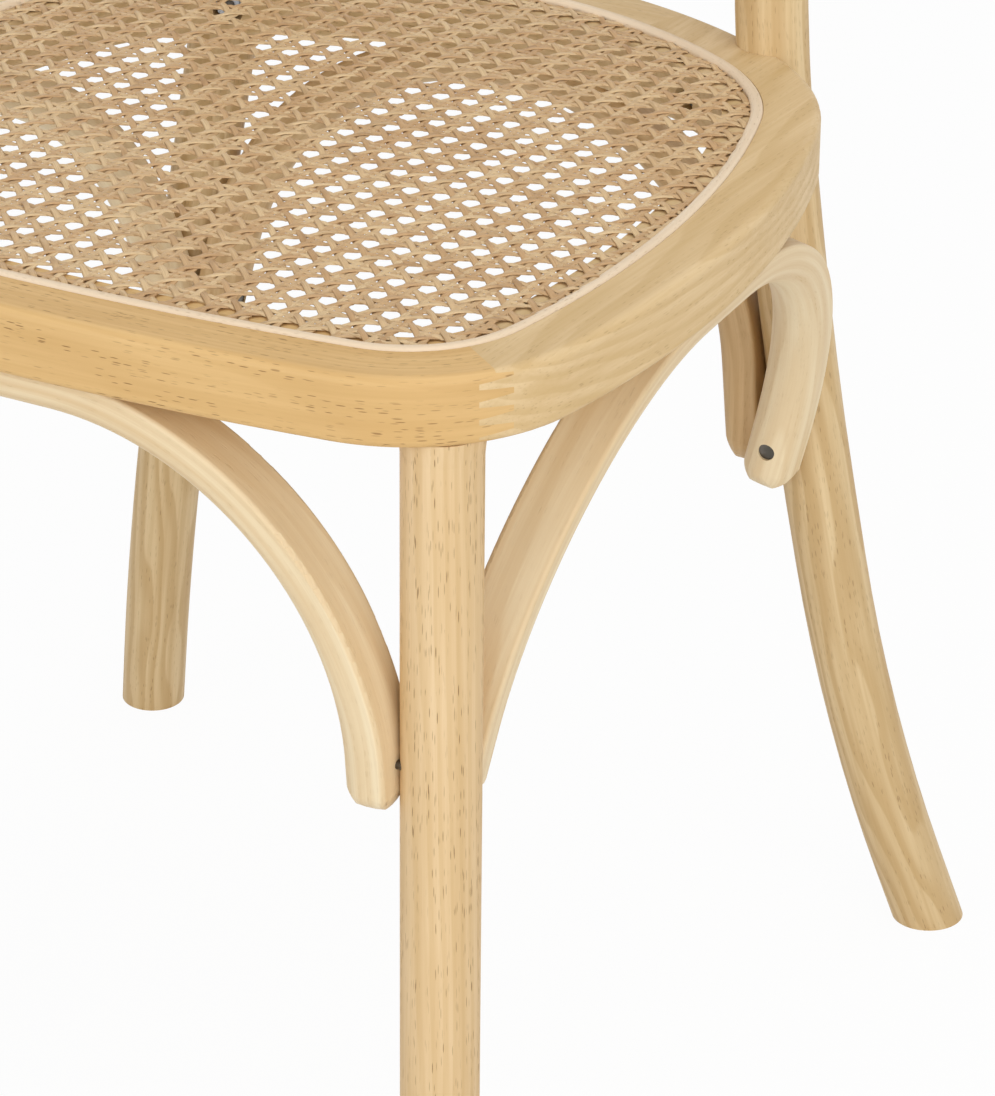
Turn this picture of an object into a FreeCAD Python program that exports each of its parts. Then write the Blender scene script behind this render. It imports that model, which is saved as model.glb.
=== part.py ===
import FreeCAD
import Part
import math
import os
from FreeCAD import Placement, Rotation, Vector

# Cross back dining chair with a round-cornered cane seat, in millimetres.
# X runs across the chair, Y from the front edge to the back, Z up from the floor.
# The origin is on the floor under the middle of the chair.

# Every size that can be set by itself
SIZES = {
    # overall
    "overall_depth": 500.0,
    "overall_height": 880.0,
    "seat_height": 449.0,
    # seat ring: outer edge as arcs that run on from each other, by radius and end heading
    "front_radius": 1194.0,
    "front_heading": 7.3,
    "front_corner_radius": 80.7,
    "front_corner_heading": 80.1,
    "side_radius": 539.0,
    "side_heading": 107.5,
    "back_corner_radius": 132.0,
    "back_corner_heading": 148.0,
    "rail_width": 43.0,
    "rail_thickness": 29.5,
    "rail_top_round": 4.0,
    "rail_bottom_round": 3.0,
    "rail_inner_round": 1.5,
    # cane groove, spline and webbing
    "groove_margin": 25.0,
    "groove_width": 5.6,
    "groove_depth": 7.0,
    "spline_crown": 1.3,
    "spline_round": 2.5,
    "cane_thickness": 2.0,
    "cane_pitch": 14.3,
    "cane_hole": 7.4,
    "cane_shift_across": 1.3,
    "cane_shift_along": 5.7,
    "cane_hole_edge_gap": 2.0,
    # finger joints between the rails
    "front_joint_heading": 54.0,
    "back_joint_heading": 161.0,
    "finger_length": 14.5,
    "finger_tip": 2.4,
    "finger_shoulder": 1.2,
    "fingers_per_joint": 4,
    # front legs
    "leg_diameter": 33.0,
    "leg_half_span": 182.5,
    "leg_setback": 43.2,
    "leg_splay": 0.8,
    "leg_flare": 1.0,
    "leg_flare_height": 10.0,
    "foot_round": 1.5,
    "tenon_diameter": 20.0,
    "tenon_length": 18.0,
    "tenon_clearance": 0.1,
    # back hoop: bend points of its axis, out from the middle, behind the seat edge, above the floor
    "hoop_diameter": 33.0,
    "foot_out": 227.4,
    "foot_back": 444.3,
    "ankle_out": 209.0,
    "ankle_back": 424.8,
    "ankle_up": 74.0,
    "knee_out": 190.5,
    "knee_back": 411.3,
    "knee_up": 159.0,
    "thigh_out": 165.0,
    "thigh_back": 405.3,
    "thigh_up": 299.0,
    "seat_bend_out": 142.3,
    "seat_bend_back": 411.3,
    "seat_bend_up": 444.0,
    "waist_out": 133.0,
    "waist_up": 529.0,
    "flare_out": 166.0,
    "flare_up": 630.0,
    "shoulder_out": 206.0,
    # how much of a run between two bend points a bend takes, and of the run below the crown
    "bend_share": 0.48,
    "crown_share": 0.76,
    # bentwood arches under the seat
    "arch_width": 25.0,
    "arch_depth": 21.0,
    "arch_edge_round": 2.0,
    "arch_radius": 148.0,
    "arch_drop": 168.0,
    "side_arch_drop": 172.0,
    "arch_lead": 10.0,
    "side_arch_tuck": 5.0,
    "side_arch_tuck_front": 2.5,
    "arch_seat_depth": 0.8,
    "arch_crown_seat": 1.0,
    "arch_end_round": 10.0,
    "arch_tip_round": 10.0,
    "arch_screw_rise": 22.0,
    "arch_crown_inset": 21.5,
    # crossing braces of the back
    "brace_width": 25.0,
    "brace_thickness": 11.0,
    "brace_edge_round": 4.0,
    "brace_entry": 9.0,
    "brace_low_rise": 50.0,
    "brace_low_bend_out": 72.0,
    "brace_low_bend_rise": 104.0,
    "brace_high_bend_out": 76.0,
    "brace_high_bend_rise": 318.0,
    "brace_high_rise": 372.0,
    "brace_bend_radius": 220.0,
    # wood screws
    "screw_diameter": 4.0,
    "screw_length": 35.0,
    "screw_head_diameter": 8.0,
    "screw_head_height": 2.6,
    "screw_recess": 1.5,
    "screw_mouth_depth": 12.0,
    "screw_tip_length": 5.0,
    "brace_screw_diameter": 3.0,
    "brace_screw_length": 19.0,
    "brace_end_screw_length": 42.0,
    "brace_screw_head_diameter": 6.0,
    "brace_screw_head_height": 1.9,
    "brace_screw_recess": 0.3,
    # bolts that hold the hoop to the seat ring
    "bolt_diameter": 6.0,
    "bolt_head_diameter": 12.0,
    "bolt_head_height": 4.0,
    "bolt_head_round": 1.6,
    "bolt_recess": 6.5,
    "bolt_below_top": 17.5,
    "washer_diameter": 13.5,
    "washer_thickness": 1.2,
    "nut_across_flats": 10.0,
    "nut_height": 5.0,
    "bolt_counterbore_clearance": 0.5,
    "bolt_hole_clearance": 0.25,
    "nut_pocket_depth": 12.0,
    "bolt_end_spare": 1.5,
}

doc = FreeCAD.newDocument("cross_back_chair")
sheet = doc.addObject("Spreadsheet::Sheet", "Sizes")
for row, (alias, value) in enumerate(SIZES.items(), start=1):
    sheet.set("A%d" % row, alias)
    sheet.set("B%d" % row, repr(value))
    sheet.setAlias("B%d" % row, alias)
doc.recompute()


def size(alias):
    return float(sheet.get(alias))


# Derived places
SEAT_FRONT = -size("overall_depth") / 2.0
SEAT_TOP = size("seat_height")
RAIL_BOTTOM = SEAT_TOP - size("rail_thickness")
LEG_RADIUS = size("leg_diameter") / 2.0
HOOP_RADIUS = size("hoop_diameter") / 2.0
UP = Vector(0, 0, 1)
# A length past the whole chair, an overlap for cutting tools and a distance that counts as touching
FAR = 2000.0
PAST = 1.0
TOUCH = 1e-3


# Seat outline: the right half as tangent arcs from the front middle to the back middle
def seat_arcs():
    bends = [
        (size("front_radius"), size("front_heading")),
        (size("front_corner_radius"), size("front_corner_heading")),
        (size("side_radius"), size("side_heading")),
        (size("back_corner_radius"), size("back_corner_heading")),
    ]
    arcs = []
    x, y, start = 0.0, SEAT_FRONT, 0.0
    for radius, heading in bends:
        end = math.radians(heading)
        centre = Vector(x - radius * math.sin(start), y + radius * math.cos(start), 0)
        arcs.append((centre, radius, start, end))
        x = centre.x + radius * math.sin(end)
        y = centre.y - radius * math.cos(end)
        start = end
    back_radius = x / math.sin(start)
    centre = Vector(0, y + back_radius * math.cos(start), 0)
    arcs.append((centre, back_radius, start, math.pi))
    return arcs


ARCS = seat_arcs()


def arc_point(arc, inset, angle, side=1):
    centre, radius = arc[0], arc[1] - inset
    return Vector(side * (centre.x + radius * math.sin(angle)), centre.y - radius * math.cos(angle), 0)


def outline_arcs(inset):
    front, back = ARCS[0], ARCS[-1]
    arcs = [Part.Arc(arc_point(front, inset, front[3], -1), arc_point(front, inset, 0),
                     arc_point(front, inset, front[3]))]
    for arc in ARCS[1:-1]:
        middle = (arc[2] + arc[3]) / 2
        arcs.append(Part.Arc(arc_point(arc, inset, arc[2]), arc_point(arc, inset, middle),
                             arc_point(arc, inset, arc[3])))
    arcs.append(Part.Arc(arc_point(back, inset, back[2]), arc_point(back, inset, math.pi),
                         arc_point(back, inset, back[2], -1)))
    for arc in reversed(ARCS[1:-1]):
        middle = (arc[2] + arc[3]) / 2
        arcs.append(Part.Arc(arc_point(arc, inset, arc[3], -1), arc_point(arc, inset, middle, -1),
                             arc_point(arc, inset, arc[2], -1)))
    return arcs


def outline_wire(inset):
    return Part.Wire([arc.toShape() for arc in outline_arcs(inset)])


def at_heading(heading):
    angle = math.radians(heading)
    for arc in ARCS:
        if angle <= arc[3]:
            break
    outward = Vector(math.sin(angle), -math.cos(angle), 0)
    along = Vector(math.cos(angle), math.sin(angle), 0)
    return arc_point(arc, 0, angle), outward, along


# The outline's outward direction at the point nearest to a place on the right half
def outward_near(place):
    best = None
    for arc in ARCS:
        offset = Vector(place.x - arc[0].x, place.y - arc[0].y, 0)
        angle = math.atan2(offset.x, -offset.y)
        angle = min(max(angle, arc[2]), arc[3])
        point = arc_point(arc, 0, angle)
        distance = point.distanceToPoint(Vector(place.x, place.y, 0))
        if best is None or distance < best[0]:
            best = (distance, Vector(math.sin(angle), -math.cos(angle), 0), point)
    return best[1], best[2]


# PartDesign helpers
def new_body(name):
    return doc.addObject("PartDesign::Body", name)


def origin_plane(body, role):
    for feature in body.Origin.OriginFeatures:
        if feature.Role == role:
            return feature
    raise ValueError("no plane " + role)


def new_sketch(body, name, role, geometry):
    sketch = body.newObject("Sketcher::SketchObject", name)
    sketch.AttachmentSupport = [(origin_plane(body, role), "")]
    sketch.MapMode = "FlatFace"
    sketch.addGeometry(geometry, False)
    return sketch


def through_cut(body, name, role, geometry):
    cut = body.newObject("PartDesign::Pocket", name)
    cut.Profile = new_sketch(body, name + "_outline", role, geometry)
    cut.Type = "ThroughAll"
    cut.Midplane = True
    body.Tip = cut


def shape_feature(name, shape, place=None):
    feature = doc.addObject("Part::Feature", name)
    feature.Shape = shape
    if place is not None:
        feature.Placement = place
    return feature


def boolean(kind, name, base, tool):
    feature = doc.addObject("Part::" + kind, name)
    feature.Base = base
    feature.Tool = tool
    return feature


# Rounded path: straight runs joined by tangent arcs
def rounded_path(points, radii):
    edges = []
    start = points[0]
    for before, corner, after, radius in zip(points, points[1:], points[2:], radii):
        back = (before - corner).normalize()
        ahead = (after - corner).normalize()
        turn = math.pi - back.getAngle(ahead)
        tangent = radius * math.tan(turn / 2)
        bisector = (back + ahead).normalize()
        to_middle = radius / math.cos(turn / 2) - radius
        entry = corner + back * tangent
        leave = corner + ahead * tangent
        if entry.distanceToPoint(start) > TOUCH:
            edges.append(Part.LineSegment(start, entry).toShape())
        edges.append(Part.Arc(entry, corner + bisector * to_middle, leave).toShape())
        start = leave
    if points[-1].distanceToPoint(start) > TOUCH:
        edges.append(Part.LineSegment(start, points[-1]).toShape())
    return Part.Wire(edges)


# The radius that uses up a share of the run on each side of a corner
def bend_radius(before, corner, after, share_before, share_after):
    turn = math.pi - (before - corner).getAngle(after - corner)
    tangent = min(share_before * before.distanceToPoint(corner), share_after * after.distanceToPoint(corner))
    return tangent / math.tan(turn / 2)


# The point where a path on the right side passes a height
def point_at_height(wire, height):
    for edge in wire.Edges:
        first, last = edge.FirstParameter, edge.LastParameter
        low, high = edge.valueAt(first), edge.valueAt(last)
        if min(low.x, high.x) < 0 or not min(low.z, high.z) <= height <= max(low.z, high.z):
            continue
        rising = high.z > low.z
        for step in range(50):
            middle = (first + last) / 2
            if (edge.valueAt(middle).z < height) == rising:
                first = middle
            else:
                last = middle
        direction = edge.tangentAt(first)
        return edge.valueAt(first), direction if direction.z > 0 else direction * -1
    raise ValueError("the path does not reach %g" % height)


# Back hoop: rear legs, posts and crown bent from one rod
def hoop_points():
    seat_bend = Vector(size("seat_bend_out"), SEAT_FRONT + size("seat_bend_back"), size("seat_bend_up"))
    crown_up = size("overall_height") - HOOP_RADIUS
    crown_back = size("overall_depth") / 2 - HOOP_RADIUS
    lean = (crown_back - seat_bend.y) / (crown_up - seat_bend.z)

    def in_back(out, up):
        return Vector(out, seat_bend.y + lean * (up - seat_bend.z), up)

    foot = Vector(size("foot_out"), SEAT_FRONT + size("foot_back"), 0)
    ankle = Vector(size("ankle_out"), SEAT_FRONT + size("ankle_back"), size("ankle_up"))
    right = [
        foot + (foot - ankle).normalize() * size("hoop_diameter"),
        ankle,
        Vector(size("knee_out"), SEAT_FRONT + size("knee_back"), size("knee_up")),
        Vector(size("thigh_out"), SEAT_FRONT + size("thigh_back"), size("thigh_up")),
        seat_bend,
        in_back(size("waist_out"), size("waist_up")),
        in_back(size("flare_out"), size("flare_up")),
        in_back(size("shoulder_out"), crown_up),
    ]
    return right, lean


HOOP_RIGHT, BACK_LEAN = hoop_points()


def mirrored(point):
    return Vector(-point.x, point.y, point.z)


def hoop_path():
    points = HOOP_RIGHT + [mirrored(p) for p in reversed(HOOP_RIGHT)]
    even, crown = size("bend_share"), size("crown_share")
    right = [(even, even) for corner in HOOP_RIGHT[1:-2]]
    right += [(even, 2 * even - crown), (crown, even)]
    shares = right + [(after, before) for before, after in reversed(right)]
    radii = []
    for before, corner, after, share in zip(points, points[1:], points[2:], shares):
        radii.append(bend_radius(before, corner, after, *share))
    return rounded_path(points, radii)


HOOP_PATH = hoop_path()


def floor_block():
    return Part.makeBox(2 * FAR, 2 * FAR, FAR, Vector(-FAR, -FAR, -FAR))


def hoop_blank():
    start = HOOP_PATH.Edges[0].valueAt(HOOP_PATH.Edges[0].FirstParameter)
    direction = HOOP_PATH.Edges[0].tangentAt(HOOP_PATH.Edges[0].FirstParameter)
    circle = Part.Wire([Part.Circle(start, direction, HOOP_RADIUS).toShape()])
    rod = HOOP_PATH.makePipeShell([circle], True, False)
    return rod.cut(floor_block())


# Front legs: turned rods with a slight flare under the rail and a tenon into it
def leg_place(side):
    top = Vector(side * size("leg_half_span"), SEAT_FRONT + size("leg_setback"), RAIL_BOTTOM)
    return Placement(top, Rotation(Vector(1, 0, 0), -size("leg_splay")))


def leg_axis_at(height, side=1):
    drop = RAIL_BOTTOM - height
    top = leg_place(side).Base
    return Vector(top.x, top.y - drop * math.tan(math.radians(size("leg_splay"))), height)


def leg_blank(side):
    radius = LEG_RADIUS
    flare = radius + size("leg_flare")
    spare = 2 * size("leg_flare_height")
    bottom = -RAIL_BOTTOM - spare
    profile = Part.makePolygon([
        Vector(0, 0, spare),
        Vector(flare, 0, spare),
        Vector(flare, 0, 0),
        Vector(radius, 0, -size("leg_flare_height")),
        Vector(radius, 0, bottom),
        Vector(0, 0, bottom),
        Vector(0, 0, spare),
    ])
    rod = Part.Face(profile).revolve(Vector(0, 0, 0), UP, 360)
    rod.Placement = leg_place(side)
    slab = Part.makeBox(2 * FAR, 2 * FAR, RAIL_BOTTOM, Vector(-FAR, -FAR, 0))
    rod = rod.common(slab)
    rim = [e for e in rod.Edges if e.BoundBox.ZMax < TOUCH]
    rod = rod.makeFillet(size("foot_round"), rim)
    tenon = Part.makeCylinder(size("tenon_diameter") / 2, size("tenon_length") + PAST, Vector(0, 0, -PAST))
    tenon.Placement = leg_place(side)
    return rod.fuse(tenon).removeSplitter()


def leg_socket(side):
    radius = size("tenon_diameter") / 2 + size("tenon_clearance")
    depth = size("tenon_length") + size("tenon_clearance")
    socket = Part.makeCylinder(radius, depth + PAST, Vector(0, 0, -PAST))
    socket.Placement = leg_place(side)
    return socket


# Seat ring and spline: a cross section turned about the centre of each arc of the outline.
# A section's corners are square: distance in from the seat's edge, height and rounding.
def section_geometry(corners):
    spots = [Vector(inset, height, 0) for inset, height, rounding in corners]
    starts, ends, arcs = [], [], []
    for i, (inset, height, rounding) in enumerate(corners):
        back = (spots[i - 1] - spots[i]).normalize() * rounding
        ahead = (spots[(i + 1) % len(spots)] - spots[i]).normalize() * rounding
        starts.append(spots[i] + back)
        ends.append(spots[i] + ahead)
        if rounding > 0:
            middle = spots[i] + (back + ahead) * (1 - math.sqrt(0.5))
            arcs.append(Part.Arc(starts[i], middle, ends[i]))
    sides = [Part.LineSegment(ends[i - 1], starts[i]) for i in range(len(spots))]
    return sides + arcs


def turned_section(name, geometry, arc, start, end, level):
    inward = Vector(-math.sin(start), math.cos(start), 0)
    along = Vector(math.cos(start), math.sin(start), 0)
    section = doc.addObject("Sketcher::SketchObject", name + "_section")
    section.Placement = Placement(arc_point(arc, 0, start) + UP * level, Rotation(inward, UP, along, "XYZ"))
    section.addGeometry(geometry, False)
    turn = doc.addObject("Part::Revolution", name)
    turn.Source = section
    turn.Base = arc[0]
    turn.Axis = UP
    turn.Angle = math.degrees(end - start)
    turn.Solid = True
    return turn


def multi_fuse(name, shapes):
    feature = doc.addObject("Part::MultiFuse", name)
    feature.Shapes = shapes
    feature.Refine = True
    return feature


def turned_ring(name, corners, level):
    geometry = section_geometry(corners)
    front, back = ARCS[0], ARCS[-1]
    front_run = turned_section(name + "_front", geometry, front, -front[3], front[3], level)
    back_run = turned_section(name + "_back", geometry, back, back[2], 2 * math.pi - back[2], level)
    right_run = multi_fuse(name + "_right", [
        turned_section("%s_right_%d" % (name, i), geometry, arc, arc[2], arc[3], level)
        for i, arc in enumerate(ARCS[1:-1], start=1)])
    left_run = doc.addObject("Part::Mirroring", name + "_left")
    left_run.Source = right_run
    left_run.Normal = Vector(1, 0, 0)
    return multi_fuse(name, [front_run, right_run, back_run, left_run])


groove_outer = size("groove_margin")
groove_inner = groove_outer + size("groove_width")
rail_top = size("rail_thickness")
ring = turned_ring("seat_ring", [
    (0, 0, size("rail_bottom_round")),
    (size("rail_width"), 0, size("rail_inner_round")),
    (size("rail_width"), rail_top - size("cane_thickness"), 0),
    (groove_inner, rail_top - size("cane_thickness"), 0),
    (groove_inner, rail_top - size("groove_depth"), 0),
    (groove_outer, rail_top - size("groove_depth"), 0),
    (groove_outer, rail_top, 0),
    (0, rail_top, size("rail_top_round")),
], RAIL_BOTTOM)
doc.recompute()


# Finger joints: a toothed outline with a straight shoulder above and below, extruded through the ring
def finger_block(heading, side, toward_front):
    point, outward, along = at_heading(heading)
    reach, tip, shoulder = size("finger_length") / 2, size("finger_tip"), size("finger_shoulder")
    pitch = size("rail_thickness") / size("fingers_per_joint")
    slope = pitch / 2 - tip
    far = -FAR if toward_front else FAR
    profile = [(far, -PAST), (0, -PAST), (0, shoulder)]
    for finger in range(int(size("fingers_per_joint"))):
        low = finger * pitch + slope / 2
        high = low + tip + slope
        profile += [(-reach, low), (-reach, low + tip), (reach, high), (reach, high + tip)]
    top = size("rail_thickness")
    profile[3] = (-reach, shoulder + slope / 2)
    profile[-1] = (reach, top - shoulder - slope / 2)
    profile += [(0, top - shoulder), (0, top + PAST), (far, top + PAST)]
    start = point + outward * size("rail_width") + Vector(0, 0, RAIL_BOTTOM)
    points = [start + along * t + Vector(0, 0, z) for t, z in profile]
    face = Part.Face(Part.makePolygon(points + points[:1]))
    block = face.extrude(outward * -FAR)
    if side < 0:
        block = block.mirror(Vector(0, 0, 0), Vector(1, 0, 0))
    return block


def rail_regions():
    front = finger_block(size("front_joint_heading"), 1, True)
    front = front.common(finger_block(size("front_joint_heading"), -1, True))
    back = finger_block(size("back_joint_heading"), 1, False)
    back = back.common(finger_block(size("back_joint_heading"), -1, False))
    return front, back


FRONT_REGION, BACK_REGION = rail_regions()
front_region = shape_feature("front_region", FRONT_REGION)
back_region = shape_feature("back_region", BACK_REGION)
end_regions = doc.addObject("Part::MultiFuse", "end_regions")
end_regions.Shapes = [front_region, back_region]
right_half = doc.addObject("Part::Box", "right_half")
right_half.Length = FAR
right_half.Width = 2 * FAR
right_half.Height = FAR
right_half.Placement = Placement(Vector(0, -FAR, 0), Rotation())
side_rails = boolean("Cut", "side_rails", ring, end_regions)
rail_blanks = {
    "seat_front_rail": boolean("Common", "front_rail_blank", ring, front_region),
    "seat_back_rail": boolean("Common", "back_rail_blank", ring, back_region),
    "seat_right_rail": boolean("Common", "right_rail_blank", side_rails, right_half),
    "seat_left_rail": boolean("Cut", "left_rail_blank", side_rails, right_half),
}
doc.recompute()


# Fasteners
def screw_shape(diameter, length, head_diameter, head_height, tip):
    radius = diameter / 2
    profile = Part.makePolygon([
        Vector(0, 0, 0),
        Vector(head_diameter / 2, 0, 0),
        Vector(radius, 0, -head_height),
        Vector(radius, 0, -length + tip),
        Vector(0, 0, -length),
        Vector(0, 0, 0),
    ])
    return Part.Face(profile).revolve(Vector(0, 0, 0), UP, 360)


# A placement whose own +Z points against the driving direction
def drive_place(point, direction):
    return Placement(point, Rotation(UP, direction * -1))


def wood_screw(point, direction):
    shape = screw_shape(size("screw_diameter"), size("screw_length"), size("screw_head_diameter"),
                        size("screw_head_height"), size("screw_tip_length"))
    shape.Placement = drive_place(point, direction)
    return shape


def screw_mouth(point, direction, diameter):
    mouth = Part.makeCylinder(diameter / 2, size("screw_mouth_depth"))
    mouth.Placement = drive_place(point, direction)
    return mouth


# Arches: one bent half-round profile, flat side out, swept over half the span and mirrored
def arch_body(name, half_span, drop, splay, place):
    turn = math.pi / 2 - splay
    radius = size("arch_radius")
    end_run = (drop - radius * (1 - math.cos(turn))) / math.sin(turn)
    crown = half_span - radius * math.sin(turn) - end_run * math.cos(turn)
    bend_end = Vector(crown + radius * math.sin(turn), -radius * (1 - math.cos(turn)), 0)
    bend_middle = Vector(crown + radius * math.sin(turn / 2), -radius * (1 - math.cos(turn / 2)), 0)
    end = Vector(half_span, -drop, 0)
    body = new_body(name)
    spine = new_sketch(body, name + "_spine", "XZ_Plane", [
        Part.LineSegment(Vector(0, 0, 0), Vector(crown, 0, 0)),
        Part.Arc(Vector(crown, 0, 0), bend_middle, bend_end),
        Part.LineSegment(bend_end, end),
    ])
    half, depth, edge = size("arch_width") / 2, size("arch_depth"), size("arch_edge_round")
    cut = edge * (1 - math.sqrt(0.5))
    section = [
        Part.LineSegment(Vector(-half + edge, 0, 0), Vector(half - edge, 0, 0)),
        Part.Arc(Vector(half - edge, 0, 0), Vector(half - cut, -cut, 0), Vector(half, -edge, 0)),
        Part.LineSegment(Vector(half, -edge, 0), Vector(half, half - depth, 0)),
        Part.Arc(Vector(half, half - depth, 0), Vector(0, -depth, 0), Vector(-half, half - depth, 0)),
        Part.LineSegment(Vector(-half, half - depth, 0), Vector(-half, -edge, 0)),
        Part.Arc(Vector(-half, -edge, 0), Vector(-half + cut, -cut, 0), Vector(-half + edge, 0, 0)),
    ]
    profile = new_sketch(body, name + "_section", "YZ_Plane", section)
    pipe = body.newObject("PartDesign::AdditivePipe", name + "_bend")
    pipe.Profile = profile
    pipe.Spine = (spine, ["Edge1", "Edge2", "Edge3"])
    doc.recompute()
    whole = body.newObject("PartDesign::Mirrored", name + "_mirror")
    whole.Originals = [pipe]
    whole.MirrorPlane = (origin_plane(body, "YZ_Plane"), [""])
    body.Tip = whole
    doc.recompute()
    tongue = size("arch_end_round")
    corner = tongue * (1 - math.sqrt(0.5))
    low = -drop - 2 * tongue
    lines = []
    for side in (-1, 1):
        edge_at, round_at = side * half, side * (half - tongue)
        bend = Part.Arc(Vector(edge_at, -drop + tongue, 0),
                        Vector(edge_at - side * corner, -drop + corner, 0), Vector(round_at, -drop, 0))
        outside = side * (half + PAST)
        lines += [
            Part.LineSegment(Vector(outside, low, 0), Vector(outside, -drop + tongue, 0)),
            Part.LineSegment(Vector(outside, -drop + tongue, 0), Vector(edge_at, -drop + tongue, 0)),
            bend,
            Part.LineSegment(Vector(round_at, -drop, 0), Vector(round_at, low, 0)),
            Part.LineSegment(Vector(round_at, low, 0), Vector(outside, low, 0)),
        ]
    through_cut(body, name + "_ends", "YZ_Plane", lines)
    away, inward = Vector(math.cos(turn), -math.sin(turn), 0), Vector(-math.sin(turn), -math.cos(turn), 0)
    tip = size("arch_tip_round")
    lines = []
    for side in (-1, 1):
        corner_at = end + inward * depth
        spots = [corner_at - away * tip, corner_at - (away + inward) * tip * (1 - math.sqrt(0.5)),
                 corner_at - inward * tip, corner_at - inward * tip + away * tip,
                 corner_at + (inward + away) * tip, corner_at - away * tip + inward * tip]
        spots = [Vector(side * spot.x, spot.y, 0) for spot in spots]
        lines.append(Part.Arc(spots[0], spots[1], spots[2]))
        lines += [Part.LineSegment(a, b) for a, b in zip(spots[2:], spots[3:] + spots[:1])]
    through_cut(body, name + "_tips", "XZ_Plane", lines)
    body.Placement = place
    doc.recompute()
    return body


# Placement of an arch: its crown point, the direction of its span and the point midway between its ends
def arch_place(crown, span, low_middle):
    x_axis = Vector(span).normalize()
    z_axis = crown - low_middle
    z_axis = (z_axis - x_axis * z_axis.dot(x_axis)).normalize()
    y_axis = z_axis.cross(x_axis)
    return Placement(crown, Rotation(x_axis, y_axis, z_axis, "ZXY"))


CROWN_UP = RAIL_BOTTOM + size("arch_crown_seat")
LEG_REACH = LEG_RADIUS - size("arch_seat_depth")
HOOP_REACH = HOOP_RADIUS - size("arch_seat_depth")


# The right leg's axis, the hoop's axis and the hoop's slant where an arch of this drop is screwed on
def rods_at_screws(drop):
    level = RAIL_BOTTOM - drop + size("arch_screw_rise")
    hoop, rise = point_at_height(HOOP_PATH, level)
    return leg_axis_at(level), hoop, math.atan2(abs(rise.x), rise.z)


# Each arch by name: its frame, half span, drop in its own plane and the splay of its ends
def arch_layout():
    layout = {}

    def add(name, first, second, crown, drop, splay):
        place = arch_place(crown, second - first, (first + second) * 0.5)
        slope = place.Rotation.multVec(UP).z
        own_drop = (crown.z - RAIL_BOTTOM + drop) / slope
        half_span = (second - first).Length / 2 + size("arch_screw_rise") * math.tan(splay)
        layout[name] = (place, half_span, own_drop, splay)

    inset = size("arch_crown_inset")
    drop = size("arch_drop")
    leg, hoop, slant = rods_at_screws(drop)
    forward = Vector(0, -size("arch_lead"), 0)
    leg_in = leg + forward - Vector(LEG_REACH, 0, 0)
    add("front_arch", mirrored(leg_in), leg_in, Vector(0, SEAT_FRONT + inset, CROWN_UP), drop, 0.0)
    hoop_in = hoop + forward - Vector(HOOP_REACH / math.cos(slant), 0, 0)
    seat_back = ARCS[-1][0].y + ARCS[-1][1]
    add("back_arch", mirrored(hoop_in), hoop_in, Vector(0, seat_back - inset, CROWN_UP), drop, slant)
    drop = size("side_arch_drop")
    leg, hoop, slant = rods_at_screws(drop)
    leg_back = leg + Vector(-size("side_arch_tuck_front"), LEG_REACH, 0)
    hoop_front = hoop - Vector(size("side_arch_tuck"), HOOP_REACH, 0)
    middle = (leg_back + hoop_front) * 0.5
    edge = outward_near(Vector(FAR, middle.y, 0))[1]
    crown = Vector(edge.x - inset, middle.y, CROWN_UP)
    add("right_arch", leg_back, hoop_front, crown, drop, 0.0)
    add("left_arch", mirrored(hoop_front), mirrored(leg_back), mirrored(crown), drop, 0.0)
    return layout


ARCHES = arch_layout()


# The seat of an arch's screw: its head's place and its driving direction
def arch_end_screws(name):
    place, half_span, drop, splay = ARCHES[name]
    rise = size("arch_screw_rise")
    seats = []
    for side in (-1, 1):
        contact = Vector(side * (half_span - rise * math.sin(splay)), 0, -drop + rise * math.cos(splay))
        outward = Vector(side * math.cos(splay), 0, math.sin(splay))
        head = contact - outward * (size("arch_depth") - size("screw_recess"))
        seats.append((place.multVec(head), place.Rotation.multVec(outward)))
    return seats


def arch_crown_screw(name):
    place = ARCHES[name][0]
    head = Vector(0, 0, -size("arch_depth") + size("screw_recess"))
    return place.multVec(head), place.Rotation.multVec(UP)


end_seats = [seat for name in ARCHES for seat in arch_end_screws(name)]
crown_seats = [arch_crown_screw(name) for name in ARCHES]
arch_end_screws_feature = shape_feature(
    "arch_end_screws", Part.makeCompound([wood_screw(*seat) for seat in end_seats]))
arch_crown_screws_feature = shape_feature(
    "arch_crown_screws", Part.makeCompound([wood_screw(*seat) for seat in crown_seats]))
screw_mouths = shape_feature("screw_mouths", Part.makeCompound(
    [screw_mouth(point, way, size("screw_head_diameter")) for point, way in end_seats + crown_seats]))


# Crossing braces: rounded flat strips swept along a gentle double bend in the plane of the back
BACK_NORMAL = Vector(0, -1, BACK_LEAN).normalize()


def in_back_plane(out, up, forward=0.0):
    bend = HOOP_RIGHT[4]
    return Vector(out, bend.y + BACK_LEAN * (up - bend.z), up) + BACK_NORMAL * forward


# A brace end on the right side of the hoop: the point its tenon reaches and the way in
def brace_seat(rise):
    axis, direction = point_at_height(HOOP_PATH, SEAT_TOP + rise)
    inward = BACK_NORMAL.cross(direction).normalize()
    if inward.x > 0:
        inward = inward * -1
    return axis, inward


LOW_AXIS, LOW_INWARD = brace_seat(size("brace_low_rise"))
HIGH_AXIS, HIGH_INWARD = brace_seat(size("brace_high_rise"))


def brace_path(forward):
    reach = HOOP_RADIUS - size("brace_entry")
    points = [
        mirrored(LOW_AXIS + LOW_INWARD * reach),
        in_back_plane(-size("brace_low_bend_out"), SEAT_TOP + size("brace_low_bend_rise"), forward),
        in_back_plane(size("brace_high_bend_out"), SEAT_TOP + size("brace_high_bend_rise"), forward),
        HIGH_AXIS + HIGH_INWARD * reach,
    ]
    return rounded_path(points, [size("brace_bend_radius")] * 2)


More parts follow.
